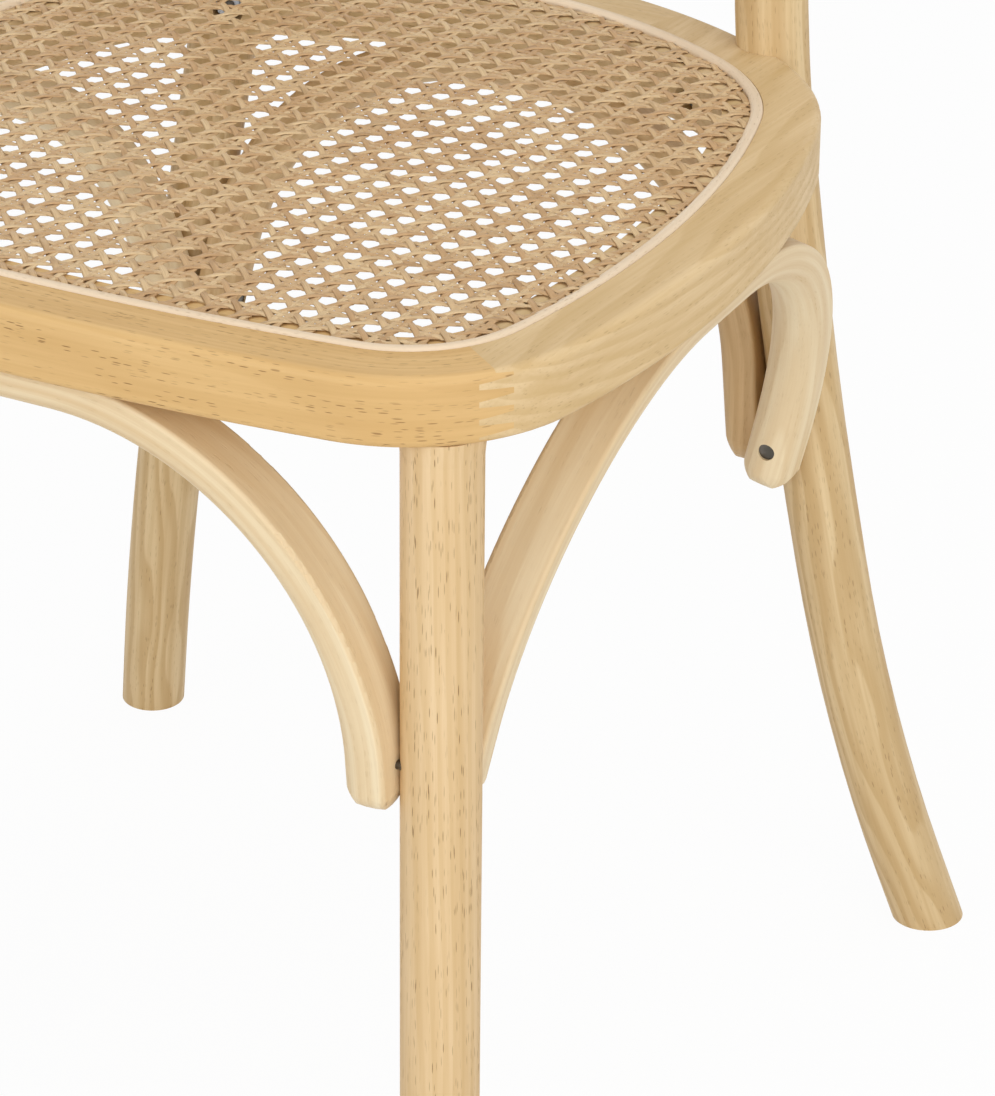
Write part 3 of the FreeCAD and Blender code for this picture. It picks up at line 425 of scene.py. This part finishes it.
# Feet: thickened in full up to the first height and fading out at the second; the place of the
# measure above the tip, just outside the limb, and the widest gap that is closed
FOOT_LOW, FOOT_HIGH = 0.03, 0.08
GAP_PLACE, GAP_START, WIDEST_GAP = 0.004, 0.0001, 0.006
ARCH_ENDS = {
    "front_arch": (
        (0.1668, -0.2173, 0.2515), (-0.1668, -0.2173, 0.2515), (0.1668, -0.2285, 0.4205)),
    "back_arch": (
        (0.1572, 0.1428, 0.2515), (-0.1572, 0.1428, 0.2515), (0.1572, 0.1738, 0.4205)),
    "right_arch": (
        (0.1603, 0.1398, 0.2475), (0.1748, -0.1947, 0.2475), (0.2013, 0.1413, 0.4205)),
    "left_arch": (
        (-0.1603, 0.1398, 0.2475), (-0.1748, -0.1947, 0.2475), (-0.2013, 0.1413, 0.4205)),
}


def leg_surfaces():
    """The outer faces of all legs, to measure gaps against."""
    points, polygons = [], []
    for node in ("front_leg_right", "front_leg_left", "back_hoop"):
        mesh = NODES[node].data
        base = len(points)
        points.extend(v.co.copy() for v in mesh.vertices)
        polygons.extend([base + i for i in polygon.vertices] for polygon in mesh.polygons)
    return BVHTree.FromPolygons(points, polygons)


def foot_to_leg(piece, tip, away, inward, legs):
    """Thickens the foot of an arch's limb until its outer face meets the leg."""
    tip, away, inward = Vector(tip), Vector(away).normalized(), Vector(inward).normalized()
    width = away.cross(inward)
    near = [v.co - tip for v in piece.data.vertices if (v.co - tip).length < TIP_REACH]
    outer, inner = min(o.dot(inward) for o in near), max(o.dot(inward) for o in near)
    middle = (min(o.dot(width) for o in near) + max(o.dot(width) for o in near)) / 2
    start = tip - away * GAP_PLACE + width * middle + inward * (outer - GAP_START)
    place, normal, index, gap = legs.ray_cast(start, -inward, WIDEST_GAP)
    if place is None:
        return
    for vert in piece.data.vertices:
        offset = vert.co - tip
        up = -offset.dot(away)
        if offset.length > FOOT_HIGH or up > FOOT_HIGH:
            continue
        share = min(max((inner - offset.dot(inward)) / (inner - outer), 0.0), 1.0)
        fade = min((FOOT_HIGH - up) / (FOOT_HIGH - FOOT_LOW), 1.0)
        vert.co -= inward * gap * share * fade * fade * (3 - 2 * fade)


def rounded_tip(piece, tip, away, inward):
    """Draws the last stretch of an arch's limb in to a worn, domed end."""
    body = bmesh.new()
    body.from_mesh(piece.data)
    tip, away, inward = Vector(tip), Vector(away).normalized(), Vector(inward).normalized()
    width = away.cross(inward)

    def in_limb(vert):
        offset = vert.co - tip
        return 1 + offset.dot(away) / TIP_LENGTH, offset.dot(width), offset.dot(inward)

    def in_tip(vert):
        return in_limb(vert)[0] > -0.01 and (vert.co - tip).length < TIP_REACH

    near = np.array([in_limb(v) for v in body.verts if (v.co - tip).length < TIP_REACH])
    low, high = near.min(axis=0), near.max(axis=0)
    middle, half = (low + high) / 2, (high - low) / 2
    for i in range(1, TIP_CUTS):
        level = tip - away * TIP_LENGTH * (i / TIP_CUTS) ** 1.6
        bmesh.ops.bisect_plane(body, geom=[*body.verts, *body.edges, *body.faces],
                               plane_co=level, plane_no=away)
    cuts = [(k, width, 1) for k in SIDE_CUTS] + [(k, inward, 2) for k in SIDE_CUTS]
    for across, normal, axis in cuts:
        faces = [f for f in body.faces if all(in_tip(v) for v in f.verts)]
        edges = {e for f in faces for e in f.edges}
        verts = {v for f in faces for v in f.verts}
        place = tip + normal * (middle[axis] + across * half[axis])
        bmesh.ops.bisect_plane(body, geom=[*verts, *edges, *faces],
                               plane_co=place, plane_no=normal)
    for vert in body.verts:
        past, across, deep = in_limb(vert)
        if past <= 0 or (vert.co - tip).length > TIP_REACH:
            continue
        past = min(past, 1.0)
        u, v = (across - middle[1]) / half[1], (deep - middle[2]) / half[2]
        round_u = u * math.sqrt(max(0.0, 1 - v * v / 2))
        round_v = v * math.sqrt(max(0.0, 1 - u * u / 2))
        blend, share = past ** 1.5, math.sqrt(1 - TIP_DRAW * past ** 2)
        u, v = share * (u + (round_u - u) * blend), share * (v + (round_v - v) * blend)
        vert.co = (tip + away * (past - 1) * TIP_LENGTH
                   + width * (middle[1] + u * half[1]) + inward * (middle[2] + v * half[2]))
    body.to_mesh(piece.data)
    body.free()


arch_wood = wood("arch_wood", ARCH_LIGHT, ARCH_DARK, colour("#a9834c"), pith=(0.08, 0.03),
                 ring=0.005, taper=0.012, wander=0.002, ring_share=0.35, pore_share=0.12,
                 seed=7.0)
# Back arch: a darker, browner copy of the arch wood; the darkening is painted shade, for an arch
# that sits in shadow behind the others
shaded_back_arch_wood = wood("shaded_back_arch_wood", colour("#dabd90"), colour("#b99463"),
                      colour("#98703c"), pith=(0.05, 0.03), ring=0.005, taper=0.012,
                      wander=0.002, ring_share=0.4, pore_share=0.2, seed=9.0)
legs = leg_surfaces()
for node, (first, last, corner) in ARCH_ENDS.items():
    rise, span = Vector(corner) - Vector(first), Vector(last) - Vector(first)
    corners = [first, corner, Vector(last) + rise, last]
    route = Route(rounded_path(corners, [ARCH_RADIUS] * 2), -span)
    # The back arch takes the darker copy, with its shade painted into the colour
    timber = shaded_back_arch_wood if node == "back_arch" else arch_wood
    arch = dressed(node, route, timber)
    for tip, inward in ((first, span), (last, -span)):
        foot_to_leg(arch, tip, -rise, inward, legs)
        rounded_tip(arch, tip, -rise, inward)
    smooth_by_angle(arch.data, 35)


def spline_grain(points):
    """Grain that runs along the spline, measured from the middle of its groove."""
    inset, along = seat_place(points[:, 0], points[:, 1])
    across = inset - (GROOVE_OUTER + GROOVE_INNER) / 2
    return np.stack([along, across, points[:, 2] - SEAT_TOP], axis=1)


reed = wood("spline_reed", colour("#eddac0"), colour("#dcc3a2"), colour("#a8885f"),
            pith=(0.02, 0.03), ring=0.002, taper=0.0, wander=0.0004, ring_share=0.2,
            pore_share=0.4, pore_length=0.004, pore_gap=0.0006, seed=8.0)
dressed("cane_spline", spline_grain, reed)


# Woven cane: each strand is a crowned strip that rises and dips over the others
SEAT_EDGE = np.concatenate([
    [(cx + radius * math.sin(angle), cy - radius * math.cos(angle))
     for angle in np.linspace(start, end, 60)] for (cx, cy), radius, start, end, run in ARCS])
LINE_STEPS = np.linspace(-0.9, 0.9, 3601)
# Strands are tried this far out from the middle
FURTHEST = 0.3


def inside_seat(x, y):
    """Whether places lie inside the seat's outline."""
    half = np.interp(y, SEAT_EDGE[:, 1], SEAT_EDGE[:, 0], left=0.0, right=0.0)
    return np.abs(x) < half


def strand_ends(origin, direction, inset):
    """Where a straight line through the seat crosses the outline drawn in by inset, or None."""
    steps = LINE_STEPS
    x, y = origin[0] + steps * direction[0], origin[1] + steps * direction[1]
    depth, along = seat_place(x, y)
    inside = (depth > inset) & inside_seat(x, y)
    if inside.sum() < 4:
        return None
    first, last = np.argmax(inside), len(inside) - 1 - np.argmax(inside[::-1])

    def cross(a, b):
        depth_a, depth_b = depth[a], depth[b]
        return steps[a] + (steps[b] - steps[a]) * (inset - depth_a) / (depth_b - depth_a)

    return cross(first - 1, first), cross(last, last + 1)


# A strand's section: across and up, as shares of its width and thickness
SECTION = [(-0.5, -0.15), (-0.32, 0.32), (0.0, 0.5), (0.32, 0.32), (0.5, -0.15), (0.0, -0.5)]
# How far a strand's tone shifts its pattern, along and across
TONE_ALONG, TONE_ACROSS = 5, 3


class Weave:
    """Collects strands into one mesh with their grain and a tone for each strand."""

    def __init__(self):
        self.points, self.faces, self.grain, self.tones = [], [], [], []
        self.count = 0
        self.random = np.random.default_rng(7)

    def strand(self, origin, direction, width, rise, step):
        ends = strand_ends(origin, direction, GROOVE_INNER + END_MARGIN)
        if ends is None:
            return
        low, high = ends
        count = max(3, int(round((high - low) / step)))
        t = np.linspace(low, high, count + 1)
        x, y = origin[0] + t * direction[0], origin[1] + t * direction[1]
        z = rise(t)
        to_end = np.minimum(t - low, high - t)
        dip = np.clip(1 - to_end / DIP_LENGTH, 0, 1) ** 2
        level = (SEAT_TOP + CANE_BOTTOM) / 2 + (z * (1 - dip) - dip * DIP_DEPTH)
        tone = self.random.random()
        wobble = self.random.normal(0, STRAND_WOBBLE)
        side = (-direction[1], direction[0])
        for across, up in SECTION:
            out, height = across * width, up * STRAND_THICKNESS
            self.points.append(np.stack([
                x + side[0] * (out + wobble), y + side[1] * (out + wobble), level + height],
                axis=1))
            self.grain.append(np.stack([
                t + tone * TONE_ALONG, np.full(t.shape, out + tone * TONE_ACROSS),
                np.full(t.shape, height)], axis=1))
        rings, sides = len(t), len(SECTION)
        for k in range(sides):
            a = self.count + k * rings + np.arange(rings - 1)
            b = self.count + ((k + 1) % sides) * rings + np.arange(rings - 1)
            self.faces.append(np.stack([a, a + 1, b + 1, b], axis=1))
        self.tones.append(np.full(rings * sides, tone))
        self.count += rings * sides

    def piece(self, name, material):
        mesh = bpy.data.meshes.new(name)
        points = np.concatenate(self.points)
        faces = np.concatenate(self.faces)
        mesh.from_pydata(points.tolist(), [], faces.tolist())
        store(mesh, "grain", "FLOAT_VECTOR", "vector", np.concatenate(self.grain))
        store(mesh, "tone", "FLOAT", "value", np.concatenate(self.tones))
        mesh.polygons.foreach_set("use_smooth", np.ones(len(mesh.polygons), bool))
        mesh.materials.append(material)
        piece = bpy.data.objects.new(name, mesh)
        SCENE.collection.objects.link(piece)
        return piece


def cane_material():
    s = Shader("cane_strand")
    grain = s.attribute("grain")
    tone = s.attribute("tone", "Fac")
    light, middle, dark = colour("#e0c396"), colour("#c8a274"), colour("#946c3f")
    base = s.mix(s.span(tone, 0.0, 1.0), light, middle)
    patches = s.noise(grain, (40.0, 150.0, 60.0), 2.0, 0.6)
    base = s.mix(s.span(patches, 0.45, 0.75, 0.0, 0.55), base, dark)
    fibre = s.noise(grain, (60.0, 3500.0, 500.0), 2.0, 0.6)
    base = s.mix(s.span(fibre, 0.4, 0.75, 0.0, 0.35), base, dark)
    s.set("Base Color", base)
    s.set("Roughness", s.span(fibre, 0.2, 0.8, 0.38, 0.6))
    s.set("Specular IOR Level", 0.45)
    s.bump(fibre, 0.00008, 0.6)
    return s.material


def cane_webbing():
    """Weaves pairs of straight strands both ways, then one slanted strand each way."""
    weave = Weave()
    straight_step, slant_step = PITCH / 8, PITCH / math.sqrt(2) / 6
    reach = int(FURTHEST / PITCH)
    for line in range(-reach, reach):
        for half in (-1, 1):
            twist = half if line % 2 else -half
            offset = (line + 0.5) * PITCH + half * PAIR_GAP / 2

            def up_down(t, twist=twist):
                t = t - 0.5 * PITCH
                near = np.abs((t / PITCH) % 1.0 - 0.5) < PAIR_GAP / PITCH
                return twist * CROSSING_RISE * np.sin(math.pi * (t / PAIR_GAP)) * near

            weave.strand((HOLE_X + offset, HOLE_Y), (0, 1), STRAIGHT_WIDTH,
                         up_down, straight_step)
            weave.strand((HOLE_X, HOLE_Y + offset), (1, 0), STRAIGHT_WIDTH,
                         lambda t, f=up_down: -f(t), straight_step)
    slant = math.sqrt(0.5)
    for line in range(-2 * reach, 2 * reach):
        start = (line + 0.5) * PITCH
        for way in (1, -1):
            weave.strand(
                (HOLE_X + start, HOLE_Y), (slant, way * slant), SLANT_WIDTH,
                lambda t, way=way: way * LAYER * np.cos(math.pi * t / (PITCH * slant)),
                slant_step)
    piece = weave.piece("woven_cane", cane_material())
    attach(piece, "root")
    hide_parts("cane_webbing")
    return piece


cane_webbing()


# Metal: worn dark screws and bolts, bright zinc on washers and nuts
def metal(name, tint, rough_low, rough_high, wear):
    s = Shader(name)
    place = s.add("ShaderNodeTexCoord").outputs["Object"]
    fine = s.noise(place, (900.0, 900.0, 900.0), 4.0, 0.6)
    broad = s.noise(place, (160.0, 160.0, 160.0), 2.0, 0.5)
    s.set("Base Color", s.mix(s.span(broad, 0.4, 0.7), tint, wear))
    s.set("Metallic", 1.0)
    s.set("Roughness", s.span(fine, 0.3, 0.7, rough_low, rough_high))
    s.bump(fine, 0.00003, 0.5)
    return s.material


dark_steel = metal("dark_steel", colour("#5a564f"), 0.3, 0.5, colour("#77716a"))
zinc_steel = metal("zinc_steel", colour("#b9bcc0"), 0.22, 0.42, colour("#9ba0a6"))
for node, finish in (("arch_end_screws", dark_steel), ("arch_crown_screws", dark_steel),
                     ("brace_end_screws", dark_steel), ("brace_cross_screw", dark_steel),
                     ("hoop_bolts", dark_steel), ("hoop_washers", zinc_steel),
                     ("hoop_nuts", zinc_steel), ("nut_washers", zinc_steel)):
    NODES[node].data.materials.clear()
    NODES[node].data.materials.append(finish)


# Floor, light and camera
def floor_piece():
    """Pale floor that turns to white for the camera but keeps a share of its shadows."""
    half = 6.0
    mesh = bpy.data.meshes.new("floor")
    corners = [(-half, -half, 0), (half, -half, 0), (half, half, 0), (-half, half, 0)]
    mesh.from_pydata(corners, [], [(0, 1, 2, 3)])
    floor = bpy.data.objects.new("floor", mesh)
    SCENE.collection.objects.link(floor)
    s = Shader("floor_paper")
    place = s.add("ShaderNodeTexCoord").outputs["Object"]
    mottle = s.noise(place, (3.0, 3.0, 3.0))
    s.set("Base Color", s.mix(mottle, (0.80, 0.80, 0.79, 1), (0.84, 0.84, 0.83, 1)))
    s.set("Roughness", 0.9)
    rays = s.add("ShaderNodeLightPath")
    indirect = s.math("MAXIMUM", rays.outputs["Is Glossy Ray"],
                      rays.outputs["Is Transmission Ray"])
    seen = s.math("MAXIMUM", rays.outputs["Is Camera Ray"], indirect)
    white = s.add("ShaderNodeEmission", {"Color": (1, 1, 1, 1), "Strength": 1.0})
    share = s.math("MULTIPLY", seen, FLOOR_WHITE)
    blend = s.add("ShaderNodeMixShader", {
        0: share, 1: s.surface.outputs[0], 2: white.outputs[0]})
    s.tree.links.new(blend.outputs[0], s.tree.nodes["Material Output"].inputs["Surface"])
    mesh.materials.append(s.material)


def world_light(strength):
    """Soft light from all round, behind a backdrop that the camera sees as white."""
    world = bpy.data.worlds.new("studio")
    world.use_nodes = True
    SCENE.world = world
    nodes, links = world.node_tree.nodes, world.node_tree.links
    nodes.clear()
    rays = nodes.new("ShaderNodeLightPath")
    seen = nodes.new("ShaderNodeMath")
    seen.operation = "MAXIMUM"
    both = nodes.new("ShaderNodeMath")
    both.operation = "MAXIMUM"
    links.new(rays.outputs["Is Glossy Ray"], both.inputs[0])
    links.new(rays.outputs["Is Transmission Ray"], both.inputs[1])
    links.new(rays.outputs["Is Camera Ray"], seen.inputs[0])
    links.new(both.outputs[0], seen.inputs[1])
    soft, white = nodes.new("ShaderNodeBackground"), nodes.new("ShaderNodeBackground")
    soft.inputs["Color"].default_value = (1, 1, 1, 1)
    soft.inputs["Strength"].default_value = strength
    white.inputs["Strength"].default_value = BACKDROP_WHITE
    white.inputs["Color"].default_value = (1, 1, 1, 1)
    blend = nodes.new("ShaderNodeMixShader")
    links.new(seen.outputs[0], blend.inputs[0])
    links.new(soft.outputs[0], blend.inputs[1])
    links.new(white.outputs[0], blend.inputs[2])
    links.new(blend.outputs[0], nodes.new("ShaderNodeOutputWorld").inputs["Surface"])


def area_light(name, place, target, width, height, power):
    lamp = bpy.data.lights.new(name, "AREA")
    lamp.shape = "RECTANGLE"
    lamp.size, lamp.size_y = width, height
    lamp.energy = power
    light = bpy.data.objects.new(name, lamp)
    SCENE.collection.objects.link(light)
    light.location = place
    light.rotation_euler = (Vector(target) - Vector(place)).to_track_quat("-Z", "Y").to_euler()


FLOOR_WHITE, BACKDROP_WHITE = 0.95, 0.965
SEAT_MIDDLE = (0.0, 0.0, 0.4)
floor_piece()
world_light(0.5)
area_light("key", (2.6, -1.7, 1.5), SEAT_MIDDLE, 2.4, 2.2, 45.0)
area_light("front", (-0.9, -3.0, 1.4), SEAT_MIDDLE, 2.4, 2.0, 31.0)
area_light("top", (0.4, 0.4, 3.0), SEAT_MIDDLE, 2.5, 2.5, 20.0)

# Camera at the photograph's place: turned, tilted down and very slightly rolled
IMAGE_HEIGHT, FOCAL_PIXELS = 1096, 4343.3
CAMERA_PLACE = Vector((0.9290, -1.5099, 1.1292))
YAW, PITCH_DOWN, ROLL = math.radians(29.002), math.radians(26.882), math.radians(-0.177)


def photo_camera():
    camera = bpy.data.cameras.new("camera")
    camera.sensor_fit = "VERTICAL"
    camera.sensor_height = 36.0
    camera.lens = FOCAL_PIXELS * camera.sensor_height / IMAGE_HEIGHT
    camera.clip_end = 50.0
    rig = bpy.data.objects.new("camera", camera)
    SCENE.collection.objects.link(rig)
    level = math.cos(PITCH_DOWN)
    forward = Vector((-math.sin(YAW) * level, math.cos(YAW) * level, -math.sin(PITCH_DOWN)))
    right = Vector((math.cos(YAW), math.sin(YAW), 0))
    down = forward.cross(right)
    turned_right = right * math.cos(ROLL) + down * math.sin(ROLL)
    turned_down = down * math.cos(ROLL) - right * math.sin(ROLL)
    axes = Matrix((turned_right, -turned_down, -forward)).transposed()
    rig.matrix_world = Matrix.Translation(CAMERA_PLACE) @ axes.to_4x4()
    SCENE.camera = rig


photo_camera()
SCENE.view_settings.view_transform = "Standard"
